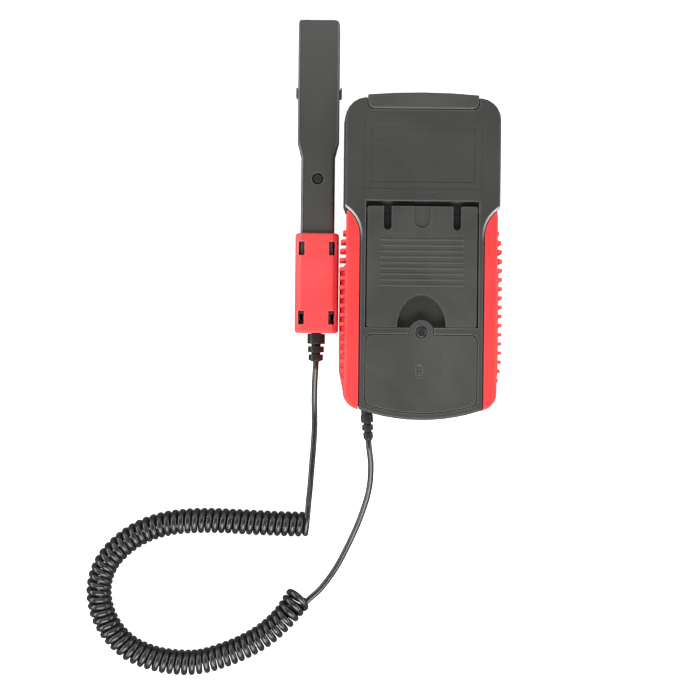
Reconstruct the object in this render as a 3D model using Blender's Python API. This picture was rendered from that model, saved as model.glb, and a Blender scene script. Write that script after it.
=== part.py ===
# A hand-held meter with a wired wand probe, lying face down on z = 0.
# +X is to the right of someone looking at the meter's back, +Y points to its top end.
# All sizes are in millimetres; the helpers turn them into metres.
import math

import bmesh
import bpy
from mathutils import Matrix, Vector

mm = 0.001
gap = 0.3  # clearance between neighbouring pieces

# Meter case
caseHalf = 38.9  # half width at the parting plane
caseTop = 78.5
caseTopCorner = 11.0
bottomArc = 94.0  # radius of the curved lower end
bottomArcY = 13.0  # centre of that radius
backFace = 36.0
partingPlane = 17.5
plateHalf = 30.3  # dark centre plate between the two grips
waistX, waistY, waistRadius = 46.5, 10.0, 16.2  # arc where the plate widens
coreHalf = 36.4  # case walls under the grips
wall = 2.2
capHalf, capLow, capTop = 27.2, 72.0, 80.2  # end cap

# Tilt stand
standHalf, standTop, standBottom = 26.95, 24.5, -34.7
standBack, standFront = 35.7, 32.5
standAxisY, standAxisZ, standPin = 22.8, 33.4, 1.1
notchHalf, notchHeight = 12.0, 16.2

# Battery door
doorHalf, doorTop, doorArc = 27.3, -38.6, 89.7
doorBack, doorFront = 35.9, 33.8
doorScrewY = -37.2
doorAxisY, doorAxisZ = -73.0, 36.0

# Grips
ribCount, ribPitch, ribFirstY, ribWide = 17, 4.54, 12.0, 1.7
ribTip, ribTipEnds = 40.5, (38.9, 39.9, 40.3)  # the end ribs are shorter
gripFootHalf, gripUpperHalf = 38.4, 37.3

# Keypad
buttonColumns = (-18.0, 0.0, 18.0)
buttonRows = (-24.0, -44.0)

# Probe
probeX, probeZ = -51.9, 10.0
headHalf, headTop, headBottom = 10.6, 119.7, 58.4
stickHalf, stickTop, stickEnd = 8.65, 50.8, -37.6
sliderY = 84.9
collarHalf, collarTop, collarEnd, collarThick = 11.0, 12.3, -37.9, 20.0
probeScrewY = 39.7
sightHoles = ((-9.2, -7.5), (7.9, 9.2))  # small openings beside the lower slots

# Cord, laid on the table; the coil is the outer shape of the curly part
cordRadius = 1.5
coilRadius = 6.3
meterLeadRoute = (
    (-24.95, -91.95, 17.5),
    (-24.7, -95.0, 17.3),
    (-24.2, -98.6, 16.4),
    (-23.6, -104.0, 14.6),
    (-24.0, -112.5, 11.6),
    (-26.1, -122.0, 8.6),
    (-29.7, -134.2, 5.4),
    (-34.4, -145.2, 3.3),
    (-40.2, -156.8, 2.1),
    (-46.3, -165.7, 1.9),
    (-51.8, -171.1, 2.2),
    (-57.4, -173.6, 3.0),
)
probeLeadRoute = (
    (-52.1, -52.75, 10.0),
    (-52.2, -56.0, 9.7),
    (-52.5, -62.5, 7.2),
    (-52.7, -72.1, 3.6),
    (-53.0, -82.3, 1.9),
    (-53.4, -92.5, 1.8),
    (-54.0, -102.7, 1.8),
    (-54.7, -112.0, 2.9),
    (-55.4, -121.5, 6.4),
    (-56.0, -128.5, 9.3),
    (-56.2, -133.0, 10.4),
)
coilRoute = (
    (-58.4, -135.2),
    (-67.1, -135.1),
    (-79.4, -134.7),
    (-91.7, -134.2),
    (-103.9, -133.8),
    (-116.2, -134.2),
    (-128.3, -135.9),
    (-139.9, -140.0),
    (-150.0, -146.9),
    (-157.9, -156.2),
    (-161.5, -167.8),
    (-160.1, -179.9),
    (-154.5, -190.8),
    (-145.7, -199.2),
    (-134.5, -204.1),
    (-122.4, -206.2),
    (-110.2, -206.0),
    (-98.4, -202.7),
    (-87.1, -198.0),
    (-76.6, -191.7),
    (-67.6, -183.4),
    (-61.1, -174.9),
)

darkCase = (0.076, 0.076, 0.072)
darkStand = (0.095, 0.095, 0.089)
darkDoor = (0.115, 0.115, 0.110)
redRubber = (0.78, 0.045, 0.05)


# Helpers


def clearScene():
    for obj in list(bpy.data.objects):
        bpy.data.objects.remove(obj, do_unlink=True)


def addObject(name, bm):
    bmesh.ops.recalc_face_normals(bm, faces=bm.faces)
    mesh = bpy.data.meshes.new(name)
    bm.to_mesh(mesh)
    bm.free()
    obj = bpy.data.objects.new(name, mesh)
    bpy.context.scene.collection.objects.link(obj)
    return obj


def loft(name, rings):
    # Skins a stack of closed rings that have equal point counts, and caps both ends.
    bm = bmesh.new()
    loops = [[bm.verts.new(Vector(p) * mm) for p in ring] for ring in rings]
    count = len(rings[0])
    for lower, upper in zip(loops, loops[1:]):
        for i in range(count):
            j = (i + 1) % count
            bm.faces.new((lower[i], lower[j], upper[j], upper[i]))
    bm.faces.new(list(reversed(loops[0])))
    bm.faces.new(loops[-1])
    bmesh.ops.remove_doubles(bm, verts=bm.verts, dist=1e-6)
    bmesh.ops.triangulate(bm, faces=[face for face in bm.faces if len(face.verts) == 4])
    return addObject(name, bm)


def prism(name, outline, z0, z1):
    return loft(name, [[(x, y, z) for x, y in outline] for z in (z0, z1)])


def block(name, x0, x1, y0, y1, z0, z1):
    return prism(name, ((x0, y0), (x1, y0), (x1, y1), (x0, y1)), z0, z1)


def disc(name, x, y, radius, z0, z1, sides=20):
    return prism(name, arc(x, y, radius, 0, 360 - 360 / sides, sides - 1), z0, z1)


def arc(cx, cy, radius, start, end, steps):
    angles = [math.radians(start + (end - start) * i / steps) for i in range(steps + 1)]
    return [(cx + radius * math.cos(a), cy + radius * math.sin(a)) for a in angles]


def roundedBox(x, y, halfX, halfY, radius, steps=3):
    points = []
    for sx, sy, start in ((1, -1, -90), (1, 1, 0), (-1, 1, 90), (-1, -1, 180)):
        corner = (x + sx * (halfX - radius), y + sy * (halfY - radius))
        points += arc(*corner, radius, start, start + 90, steps)
    return points


def turned(name, origin, direction, profile, sides=18):
    # A solid of revolution: profile holds (distance along the axis, radius) pairs.
    axis = Vector(direction).normalized()
    side = axis.orthogonal().normalized()
    up = axis.cross(side)
    rings = []
    for along, radius in profile:
        centre = Vector(origin) + axis * along
        angles = [2 * math.pi * i / sides for i in range(sides)]
        rings.append([centre + (side * math.cos(a) + up * math.sin(a)) * radius for a in angles])
    return loft(name, rings)


def stepped(pairs):
    # Turns (start, end, radius) bands into a profile with square shoulders.
    profile = []
    for start, end, radius in pairs:
        profile += [(start, radius), (end, radius)]
    return profile


def combine(obj, other, operation):
    modifier = obj.modifiers.new("join", "BOOLEAN")
    modifier.operation = operation
    modifier.solver = "EXACT"
    modifier.object = other
    graph = bpy.context.evaluated_depsgraph_get()
    mesh = bpy.data.meshes.new_from_object(obj.evaluated_get(graph))
    obj.modifiers.clear()
    obj.data = mesh
    bpy.data.objects.remove(other, do_unlink=True)
    bm = bmesh.new()
    bm.from_mesh(mesh)
    bmesh.ops.dissolve_degenerate(bm, dist=2e-6, edges=bm.edges)
    bm.to_mesh(mesh)
    bm.free()


def add(obj, *others):
    for other in others:
        combine(obj, other, "UNION")


def cut(obj, *others):
    for other in others:
        combine(obj, other, "DIFFERENCE")


def finishPiece(obj, colour, roughness, metallic=0.0, origin=(0, 0, 0)):
    material = bpy.data.materials.new(obj.name)
    material.use_nodes = True
    shader = material.node_tree.nodes["Principled BSDF"]
    shader.inputs["Base Color"].default_value = (*colour, 1)
    shader.inputs["Roughness"].default_value = roughness
    shader.inputs["Metallic"].default_value = metallic
    obj.data.materials.clear()
    obj.data.materials.append(material)
    place = Vector(origin) * mm
    if obj.type == "MESH":
        obj.data.transform(Matrix.Translation(-place))
        obj.data.shade_smooth()
        obj.data.set_sharp_from_angle(angle=math.radians(35))
    obj.location = place
    return obj


def mirrored(points):
    # Completes a right-hand outline, which runs from bottom to top, with its left half.
    return points + [(-x, y) for x, y in reversed(points) if abs(x) > 1e-9]


# Outlines of the meter


def lowerCorner(half, radius, inset):
    # The corner circle is tangent to the bottom arc and to the side at x = half.
    cx = half - radius
    cy = bottomArcY - math.sqrt((bottomArc - inset - radius) ** 2 - cx**2)
    start = math.degrees(math.atan2(cy - bottomArcY, cx))
    return cx, cy, start


def lowerEnd(half, radius, inset, steps=5):
    cx, cy, start = lowerCorner(half, radius, inset)
    bottom = arc(0, bottomArcY, bottomArc - inset, -90, start, steps)
    return bottom[:-1] + arc(cx, cy, radius, start, 0, 4)


def plateRing(z, inset, half):
    # Full case outline whose lower part is narrowed to the centre plate.
    right = lowerEnd(half, 1.2, inset)
    radius = waistX - half
    reach = -math.degrees(math.acos((waistX - 38.5 + inset) / radius)) + 180
    right += arc(waistX, waistY, radius, 180, reach, 5)
    side = caseHalf - inset
    right.append((side, waistY + 15.0 + 0.3 * inset))
    corner = caseTopCorner - inset * 0.6
    right += arc(side - corner, caseTop - inset - corner, corner, 0, 84, 5)
    right.append((14.0, caseTop - inset + 0.35))
    right.append((0.0, caseTop - inset + 0.5))
    return [(x, y, z) for x, y in mirrored(right)]


def coreRing(z, half, inset):
    # Walls of the case under the grips, up to inside the wide upper part.
    right = lowerEnd(half, 6.0, inset)
    right += [(half, 30.0), (0.0, 30.0)]
    return [(x, y, z) for x, y in mirrored(right)]


def gripRing(z, outer, inset):
    # Right-hand grip: inner edge along the plate, outer edge at x = outer.
    # Above the bulge of the front half the outer edge steps in to gripUpperHalf.
    inner = plateHalf + gap
    radius = 9.0 - inset
    foot = min(outer, gripFootHalf)
    cx, cy, start = lowerCorner(foot, radius, inset)
    stop = bottomArcY - math.sqrt((bottomArc - inset) ** 2 - inner**2)
    begin = math.degrees(math.atan2(stop - bottomArcY, inner))
    points = arc(0, bottomArcY, bottomArc - inset, begin, start, 2)[:-1]
    points += arc(cx, cy, radius, start, 0, 5)
    upper = min(outer, gripUpperHalf)
    points += [(outer, -57.0), (outer, -6.0), (upper, -3.0), (upper, 19.5)]
    radius = waistRadius - gap
    top = math.degrees(math.acos((waistX - upper + 0.3) / radius))
    points += arc(waistX, waistY, radius, 180 - top, 180, 6)
    return [(x, y, z) for x, y in points]


def doorOutline(grow):
    # Battery door: straight sides, bottom edge concentric with the case.
    right = lowerEnd(doorHalf + grow, 3.0, bottomArc - doorArc - grow)
    right += arc(doorHalf + grow - 3.0, doorTop + grow - 3.0, 3.0, 0, 90, 4)
    right.append((0.0, doorTop + grow))
    return mirrored(right)


def notchOutline(halfWidth, height, base):
    angles = [math.pi * i / 14 for i in range(15)]
    arch = [(halfWidth * math.cos(a), base + height * math.sin(a)) for a in angles]
    return [(-halfWidth, base - 2.0), (halfWidth, base - 2.0)] + arch


def caseHalfShell(name, flip):
    # Both shells share this form; flip mirrors it through the parting plane.
    def at(z):
        return z if not flip else 2 * partingPlane - z

    def ordered(rings):
        return rings if not flip else list(reversed(rings))

    top = backFace if not flip else 2 * partingPlane
    split = partingPlane + gap / 2
    rings = (
        plateRing(at(split), 0.0, plateHalf),
        plateRing(at(top - 1.5), 0.7, plateHalf),
        plateRing(at(top - 0.5), 1.0, plateHalf - 0.2),
        plateRing(at(top), 1.7, plateHalf - 0.8),
    )
    shell = loft(name, ordered(list(rings)))
    core = (coreRing(at(split), coreHalf, 2.0), coreRing(at(top - 2.8), coreHalf, 2.0))
    add(shell, loft("core", ordered(list(core))))
    low = split - 1.0
    hollow = (
        plateRing(at(low), wall, plateHalf - wall),
        plateRing(at(top - 2.5), wall + 0.6, plateHalf - wall),
    )
    inner = (
        coreRing(at(low), coreHalf - 2.1, 4.2),
        coreRing(at(top - 4.8), coreHalf - 2.1, 4.2),
    )
    cut(shell, loft("hollow", ordered(list(hollow))), loft("inner", ordered(list(inner))))
    return shell


# Meter


def makeRearCase():
    case = caseHalfShell("rear_case", False)
    add(case, block("pan", -29.5, 29.5, -36.9, 28.9, 29.9, 34.5))
    add(case, block("batteryBox", -28.9, 28.9, -69.8, -38.0, 13.7, 34.6))
    add(case, block("capPad", -28.8, 28.8, 70.0, 76.6, 31.0, 34.4))
    add(case, prism("wellWall", notchOutline(14.0, 18.2, -35.0), 28.2, 31.0))
    for side in (-1, 1):
        add(case, disc("boss", 21 * side, 12, 3.4, 17.9, 31.0))
        add(case, disc("boss", 17 * side, -73.2, 3.9, 17.9, 30.0))
    cut(case, block("recess", -27.7, 27.7, -35.0, 27.0, 31.9, 40.0))
    cut(case, block("trough", -27.6, 27.6, 20.6, 26.9, 31.2, 40.0))
    cut(case, prism("well", notchOutline(notchHalf, notchHeight, -35.0)[2:], 30.0, 40.0))
    add(case, disc("doorBoss", 0, doorScrewY, 3.4, 24.0, 33.3))
    cut(case, prism("doorSeat", doorOutline(gap), 33.5, 40.0))
    cut(case, disc("tabSeat", 0, doorScrewY, 6.3, 33.4, 40.0, 28))
    cut(case, block("pocket", -26.9, 26.9, -68.0, -40.4, 15.5, 40.0))
    cut(case, disc("doorHole", 0, doorScrewY, 1.75, 28.6, 40.0))
    cut(case, turned("wireHole", (24, -42, 20), (0, 1, 0), [(0, 1.5), (6, 1.5)], 12))
    for side in (-1, 1):
        x = 28.4 * side
        cut(case, turned("pinHole", (x, standAxisY, standAxisZ), (1, 0, 0), [(-0.9, 1.4), (0.9, 1.4)], 16))
        for px, py, seat in ((21, 12, 29.4), (17, -73.2, 28.0)):
            cut(case, disc("seat", px * side, py, 2.85, seat, 33.0))
            cut(case, disc("hole", px * side, py, 1.55, 16.0, 31.0, 14))
    cut(case, block("labelOuter", -29.0, 29.0, 32.8, 66.1, 35.8, 40.0))
    cut(case, block("labelInner", -25.6, 25.6, 36.1, 62.8, 35.55, 40.0))
    cut(case, prism("capSeat", capOutline(gap, 10.0), 33.4, 40.0))
    cut(case, block("capEnd", -capHalf - gap, capHalf + gap, 77.6, 90.0, 3.7, 40.0))
    cut(case, reliefHole())
    for side in (-1, 1):
        # Sloped edge along the arc above each grip
        slope = [(-0.6, waistRadius - 1.2), (0.0, waistRadius), (0.65, waistRadius + 1.3), (3.0, waistRadius + 1.3)]
        cut(case, turned("waistSlope", (waistX * side, waistY, 35.4), (0, 0, 1), slope, 72))
    return finishPiece(case, darkCase, 0.5)


def reliefHole():
    return turned("reliefHole", (-26.0, -84.0, partingPlane), (0, 1, 0), [(0, 3.3), (14, 3.3)], 18)


def makeFrontCase():
    case = caseHalfShell("front_case", True)
    for side in (-1, 1):
        add(case, disc("boss", 21 * side, 12, 3.2, 1.8, 17.0))
        add(case, disc("boss", 17 * side, -73.2, 3.0, 1.8, 17.0))
        for x, y in ((31.3, 50), (26.5, -59)):
            add(case, disc("post", x * side, y, 1.8, 1.8, 8.2, 12))
    for side in (-1, 1):
        cut(case, disc("hole", 21 * side, 12, 1.5, 6.0, 20.0, 14))
        cut(case, disc("hole", 17 * side, -73.2, 1.5, 6.0, 20.0, 14))
    cut(case, prism("lensSeat", roundedBox(0, 41, 27.5, 21.5, 2.5), -1.0, 1.6))
    cut(case, block("window", -24.5, 24.5, 22.5, 59.5, -1.0, 4.0))
    for x in buttonColumns:
        for y in buttonRows:
            cut(case, prism("keyHole", roundedBox(x, y, 7.0, 5.0, 3.0), -1.0, 4.0))
    cut(case, block("capEnd", -capHalf - gap, capHalf + gap, 77.6, 90.0, 3.7, 40.0))
    cut(case, reliefHole())
    return finishPiece(case, darkCase, 0.5)


def makeGrip(name, side):
    # Outer face: pulled in at the back, fullest in the front half.
    section = (
        (1.3, 37.2, 1.5),
        (2.6, 39.2, 0.5),
        (4.0, 40.4, 0.0),
        (10.0, 40.4, 0.0),
        (17.0, 39.6, 0.0),
        (24.0, 38.4, 0.0),
        (31.5, 37.6, 0.3),
        (34.6, 37.1, 0.8),
        (35.6, 36.4, 1.6),
    )
    grip = loft(name, [gripRing(*ring) for ring in section])
    for i in range(ribCount):
        y = ribFirstY - ribPitch * i
        fromEnd = min(i, ribCount - 1 - i)
        tip = ribTipEnds[fromEnd] if fromEnd < len(ribTipEnds) else ribTip
        half = ribWide / 2
        rib = [(37.0, 10.4), (tip, 10.8), (tip, 25.0), (tip - 0.6, 30.0), (tip - 1.6, 31.4), (36.9, 32.2)]
        faces = [[(x, y + s * half, z) for x, z in rib] for s in (-1, 1)]
        add(grip, loft("rib", faces))
    cut(grip, loft("core", [coreRing(z, coreHalf + gap, 1.7) for z in (1.9, 33.5)]))
    if side < 0:
        grip.data.transform(Matrix.Scale(-1, 4, (1, 0, 0)))
        grip.data.flip_normals()
    return finishPiece(grip, redRubber, 0.45)


def capOutline(grow, reach=0.0):
    # End cap seen from the back, grown outwards and stretched past the end of the case.
    half, low, top = capHalf + grow, capLow - grow, capTop + grow + reach
    right = [(half - 2.8, low), (half - 0.9, low + 0.7), (half, low + 2.8), (half, top - 1.2), (14.0, top - 0.3)]
    return [(-half + 2.8, low)] + right + [(0.0, top)] + [(-x, y) for x, y in reversed(right[1:])]


def makeEndCap():
    def ring(z, inset):
        return [(x, y, z) for x, y in capOutline(-inset)]

    cap = loft("top_end_cap", [ring(4.0, 0), ring(35.9, 0), ring(36.6, 0.6)])
    cut(cap, block("inside", -40, 40, 60, 77.9, 0.0, 33.7))
    return finishPiece(cap, darkCase, 0.4)


def makeStand():
    stand = prism("tilt_stand", roundedBox(0, (standTop + standBottom) / 2, standHalf,
                  (standTop - standBottom) / 2, 0.8, 2), standFront, standBack)
    for side in (-1, 1):
        pin = [(-2.6, standPin), (1.75, standPin)]
        at = (27.0 * side, standAxisY, standAxisZ)
        add(stand, turned("pin", at, (side, 0, 0), pin, 16))
        slot = arc(17.0 * side, standTop - 9.8, 1.9, 180, 360, 6)
        slot += [(17.0 * side + 1.9, standTop + 2), (17.0 * side - 1.9, standTop + 2)]
        cut(stand, prism("slot", slot, 30.0, 40.0))
    thumb = arc(0, 18.1, 4.3, 180, 360, 8) + [(4.3, 27.0), (-4.3, 27.0)]
    cut(stand, prism("thumb", thumb, standBack - 0.9, 40.0))
    for i in range(9):
        y = 8.2 - 2.8 * i
        rib = [[(-x, y - w, z), (x, y - w, z), (x, y + w, z), (-x, y + w, z)]
               for x, w, z in ((20.7, 0.7, standBack - 0.3), (20.4, 0.4, standBack + 0.3))]
        add(stand, loft("rib", rib))
    notch = notchOutline(notchHalf, notchHeight, standBottom - 0.3)
    cut(stand, prism("notch", notch, 30.0, 40.0))
    return finishPiece(stand, darkStand, 0.5, origin=(0, standAxisY, standAxisZ))


def makeDoor():
    door = prism("battery_door", doorOutline(0.0), doorFront, doorBack)
    tab = arc(0, doorScrewY, 6.0, 0, 180, 12) + [(-6.0, -41.0), (6.0, -41.0)]
    add(door, prism("tab", tab, doorFront, doorBack))
    for side in (-1, 1):
        x = 5.5 * side
        add(door, block("foot", x - 3, x + 3, -75.6, -73.0, 31.9, 34.4))
        add(door, block("hook", x - 2.9, x + 2.9, -77.1, -75.0, 32.0, 33.1))
    cut(door, disc("seat", 0, doorScrewY, 2.9, 34.7, 40.0))
    cut(door, disc("hole", 0, doorScrewY, 1.6, 30.0, 40.0, 16))
    return finishPiece(door, darkDoor, 0.5, origin=(0, doorAxisY, doorAxisZ))


def makeScrew(name, x, y, top, head, length, headRadius=2.5):
    # Pan head with a cross recess; the shank points down from the head.
    profile = [(0, 1.2), (length, 1.2), (length, headRadius), (length + head * 0.7, headRadius)]
    profile.append((length + head, headRadius * 0.86))
    screw = turned(name, (x, y, top - length - head), (0, 0, 1), profile, 16)
    depth = min(0.8, head * 0.6)
    cross = block("cross", x - 1.5, x + 1.5, y - 0.35, y + 0.35, top - depth, top + 1)
    add(cross, block("bar", x - 0.35, x + 0.35, y - 1.5, y + 1.5, top - depth, top + 1))
    cut(screw, cross)
    return finishPiece(screw, (0.05, 0.05, 0.05), 0.35, 0.9, origin=(x, y, top))


def makeButton(name, x, y, colour):
    outer = roundedBox(x, y, 6.6, 4.6, 2.8)
    crown = roundedBox(x, y, 6.0, 4.0, 2.3)
    flange = roundedBox(x, y, 8.2, 6.2, 3.4)
    stem = roundedBox(x, y, 3.0, 3.0, 1.2)
    bands = ((crown, 0.5), (outer, 0.9), (outer, 3.0), (flange, 3.0), (flange, 4.0), (stem, 4.0), (stem, 5.5))
    button = loft(name, [[(px, py, z) for px, py in ring] for ring, z in bands])
    return finishPiece(button, colour, 0.55, origin=(x, y, 3.0))


def makeKeypad():
    number = 1
    for y in buttonRows:
        for x in buttonColumns:
            power = number == 1
            name = "power_button" if power else "button_%d" % number
            makeButton(name, x, y, redRubber if power else (0.20, 0.20, 0.20))
            number += 1


def makeInside():
    board = block("circuit_board", -33.4, 33.4, -64.0, 62.0, 8.5, 10.1)
    for side in (-1, 1):
        cut(board, disc("bossHole", 21 * side, 12, 3.6, 5.0, 12.0, 16))
    finishPiece(board, (0.02, 0.16, 0.06), 0.5)
    display = prism("display_module", roundedBox(0, 41, 28.6, 20.5, 1.0, 1), 3.1, 8.1)
    finishPiece(display, (0.30, 0.34, 0.27), 0.3)
    lens = prism("display_lens", roundedBox(0, 41, 27.2, 21.2, 2.2), 0.5, 1.3)
    finishPiece(lens, (0.35, 0.38, 0.36), 0.08)
    chip = block("main_chip", -6.0, 6.0, -11.0, 1.0, 10.4, 12.0)
    finishPiece(chip, (0.02, 0.02, 0.02), 0.5)
    buzzer = turned("buzzer", (20.0, -6.0, 10.4), (0, 0, 1), [(0, 5.0), (2.6, 5.0), (2.9, 4.6)], 20)
    finishPiece(buzzer, (0.02, 0.02, 0.02), 0.4)
    header = block("probe_socket", -31.0, -21.0, -62.0, -57.0, 10.4, 13.2)
    finishPiece(header, (0.7, 0.68, 0.6), 0.5)


def makeBattery():
    cell = loft("battery", [
        [(x, y, 24.55 + z) for y, z in roundedBox(-54.25, 0, 13.2, 8.6, 1.6, 2)]
        for x in (-26.5, 21.9)
    ])
    for y, radius in ((-60.6, 2.9), (-47.9, 3.6)):
        add(cell, turned("post", (21.0, y, 24.55), (1, 0, 0), [(0, radius), (2.6, radius)], 12))
    finishPiece(cell, (0.06, 0.06, 0.07), 0.35, 0.3)
    snap = prism("battery_snap", roundedBox(25.25, -54.25, 1.35, 12.0, 0.6, 1), 17.0, 32.2)
    finishPiece(snap, (0.02, 0.02, 0.02), 0.5)


def makeMeterRelief():
    bands = ((0, 0.8, 4.0), (0.8, 8.4, 2.7), (8.4, 12.5, 3.1), (12.5, 13.6, 2.0), (13.6, 16.4, 2.8))
    bands += ((16.4, 17.4, 1.9), (17.4, 20.6, 2.45), (20.6, 21.4, 1.9))
    relief = turned("meter_strain_relief", (-26.7, -70.15, partingPlane), (0.08, -1, 0), stepped(bands), 16)
    return finishPiece(relief, (0.02, 0.02, 0.02), 0.6)


# Probe


def probeRing(y, half, z0, z1, edge, draft):
    # Rectangle across the probe, square at z0 and eased at z1.
    pull = half - draft
    sign = 1 if z1 > z0 else -1
    right = [(half, z0), (pull, z1 - sign * edge), (pull - edge, z1)]
    return [(probeX + x, y, z) for x, z in right + [(-x, z) for x, z in reversed(right)]]


def probeShell(name, split, stickFace, headFace):
    sign = 1 if stickFace > split else -1

    def rings(shrink, end):
        head, stick = headHalf - shrink, stickHalf - shrink
        start = split - sign * (1 if shrink else 0)
        edge = 0.6
        return [
            probeRing(stickEnd + end, stick, start, stickFace - sign * shrink, edge, 0.6),
            probeRing(stickTop, stick, start, stickFace - sign * shrink, edge, 0.6),
            probeRing(headBottom, head, start, headFace - sign * shrink, edge, 0.5),
            probeRing(headTop - end - (0 if end else 1.2), head, start, headFace - sign * shrink, edge, 0.5),
        ]

    outer = rings(0.0, 0.0)
    outer.append(probeRing(headTop, headHalf - 1.2, split, headFace - sign * 0.7, 0.6, 0.4))
    shell = loft(name, outer)
    cut(shell, loft("hollow", rings(1.8, 1.8)))
    cut(shell, turned("reliefHole", (probeX, stickEnd - 2, probeZ), (0, 1, 0), [(0, 2.9), (6, 2.9)], 18))
    for x0, x1 in sightHoles:
        cut(shell, block("sightHole", probeX + x0, probeX + x1, -31.2, -29.2, -1.0, 20.0))
    return shell


def makeProbe():
    rear = probeShell("probe_rear_shell", probeZ + gap / 2, 17.5, 18.5)
    add(rear, disc("boss", probeX, probeScrewY, 3.6, probeZ + 0.3, 16.3))
    cut(rear, disc("seat", probeX, probeScrewY, 2.85, 15.6, 20.0))
    cut(rear, disc("hole", probeX, probeScrewY, 1.5, 8.0, 18.0, 14))
    finishPiece(rear, darkDoor, 0.5)
    front = probeShell("probe_front_shell", probeZ - gap / 2, 2.5, 0.0)
    cut(front, block("slideSeat", probeX - 14, probeX + 14, sliderY - 18, sliderY + 7.6, -1.0, 1.8))
    add(front, block("seatFloor", probeX - 9.0, probeX + 9.0, sliderY - 19.4, sliderY + 9, 1.9, 3.6))
    cut(front, prism("sensorWindow", roundedBox(probeX, sliderY, 3.0, 2.2, 1.0), -2.0, 5.0))
    add(front, disc("boss", probeX, probeScrewY, 3.6, 3.4, probeZ - 0.4))
    cut(front, disc("hole", probeX, probeScrewY, 1.5, 4.6, 12.0, 14))
    finishPiece(front, darkDoor, 0.5)
    makeScrew("probe_screw", probeX, probeScrewY, 17.2, 1.3, 9.6)
    makeSlider()
    board = block("sensor_board", probeX - 6.2, probeX + 6.2, 58.5, 112.0, 9.4, 10.6)
    finishPiece(board, (0.02, 0.16, 0.06), 0.5)
    sensor = turned("sensor", (probeX, sliderY, 4.0), (0, 0, 1), [(0, 3.2), (4.6, 3.2), (5.1, 2.8)], 16)
    finishPiece(sensor, (0.6, 0.6, 0.6), 0.3, 0.9)


def makeSlider():
    slider = prism("sensor_slider", roundedBox(probeX, sliderY, 9.8, 7.0, 1.0), 0.3, 1.5)
    for side in (-1, 1):
        x = probeX + side * 9.5
        outer = probeX + side * 11.7
        inner = probeX + side * (headHalf + gap)
        add(slider, block("arm", min(x, outer), max(x, outer), sliderY - 2.5, sliderY + 2.5, 0.4, 1.4))
        add(slider, block("ear", min(inner, outer), max(inner, outer), sliderY - 2.45, sliderY + 2.45, 0.45, 7.0))
    for i in range(3):
        y = sliderY - 2.5 + 2.5 * i
        cut(slider, block("grip", probeX - 6, probeX + 6, y - 0.5, y + 0.5, 0.0, 0.7))
    return finishPiece(slider, darkCase, 0.5, origin=(probeX, sliderY, 0.9))


def makeCollar():
    def ring(y, shrink):
        half, low, high = collarHalf - shrink, shrink, collarThick - shrink
        right = [(half - 2.2, low), (half, low + 2.6), (half, high - 5.0), (half - 0.7, high - 2.2), (half - 2.9, high)]
        return [(probeX + x, y, z) for x, z in right + [(-x, z) for x, z in reversed(right)]]

    ends = ((collarEnd, 0.8), (collarEnd + 0.8, 0.0), (collarTop - 0.8, 0.0), (collarTop, 0.8))
    collar = loft("probe_collar", [ring(y, shrink) for y, shrink in ends])
    cut(collar, block("bore", probeX - stickHalf - gap, probeX + stickHalf + gap, -50, 30, 2.2, 17.8))
    for y in (4.5, -30.2):
        for side in (-1, 1):
            x = probeX + 7.6 * side
            cut(collar, block("slot", x - 1.45, x + 1.45, y - 3.4, y + 3.4, 15.0, 22.0))
            x = probeX + 6.4 * side
            cut(collar, block("frontSlot", x - 1.3, x + 1.3, y - 3.4, y + 3.4, -1.0, 4.0))
    for x0, x1 in sightHoles:
        cut(collar, block("sightHole", probeX + x0, probeX + x1, -31.3, -29.1, -1.0, 4.0))
    return finishPiece(collar, redRubber, 0.4)


def makeProbeRelief():
    bands = ((0, 1.5, 4.3), (1.5, 4.4, 2.55), (4.4, 9.6, 4.5), (9.6, 10.8, 2.4), (10.8, 13.9, 4.1))
    bands += ((13.9, 14.9, 2.3), (14.9, 18.0, 3.7), (18.0, 18.5, 2.6))
    relief = turned("probe_strain_relief", (probeX, -33.8, probeZ), (-0.01, -1, 0), stepped(bands), 16)
    return finishPiece(relief, (0.02, 0.02, 0.02), 0.6)


# Cord


def smoothRoute(points, spacing):
    # Catmull-Rom curve through the points, read at about the given spacing.
    ends = [2 * points[0] - points[1]] + points + [2 * points[-1] - points[-2]]
    route = []
    for a, b, c, d in zip(ends, ends[1:], ends[2:], ends[3:]):
        steps = max(1, round((c - b).length / spacing))
        for i in range(steps):
            t = i / steps
            route.append(0.5 * (2 * b + (c - a) * t + (2 * a - 5 * b + 4 * c - d) * t**2
                                + (3 * b - 3 * c + d - a) * t**3))
    return route + [points[-1]]


def makeTube(name, points, radius, spacing):
    route = smoothRoute([Vector(p) for p in points], spacing)
    curve = bpy.data.curves.new(name, "CURVE")
    curve.dimensions = "3D"
    curve.bevel_depth = radius * mm
    curve.bevel_resolution = 2
    curve.use_fill_caps = True
    spline = curve.splines.new("POLY")
    spline.points.add(len(route) - 1)
    for point, place in zip(spline.points, route):
        point.co = (*(place * mm), 1)
    obj = bpy.data.objects.new(name, curve)
    bpy.context.scene.collection.objects.link(obj)
    return finishPiece(obj, (0.015, 0.015, 0.015), 0.35)


def makeCord():
    makeTube("cord_meter_lead", meterLeadRoute, cordRadius, 6.0)
    makeTube("cord_probe_lead", probeLeadRoute, cordRadius, 6.0)
    makeTube("cord_curl", [(x, y, coilRadius + 0.1) for x, y in coilRoute], coilRadius, 12.5)


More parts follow.
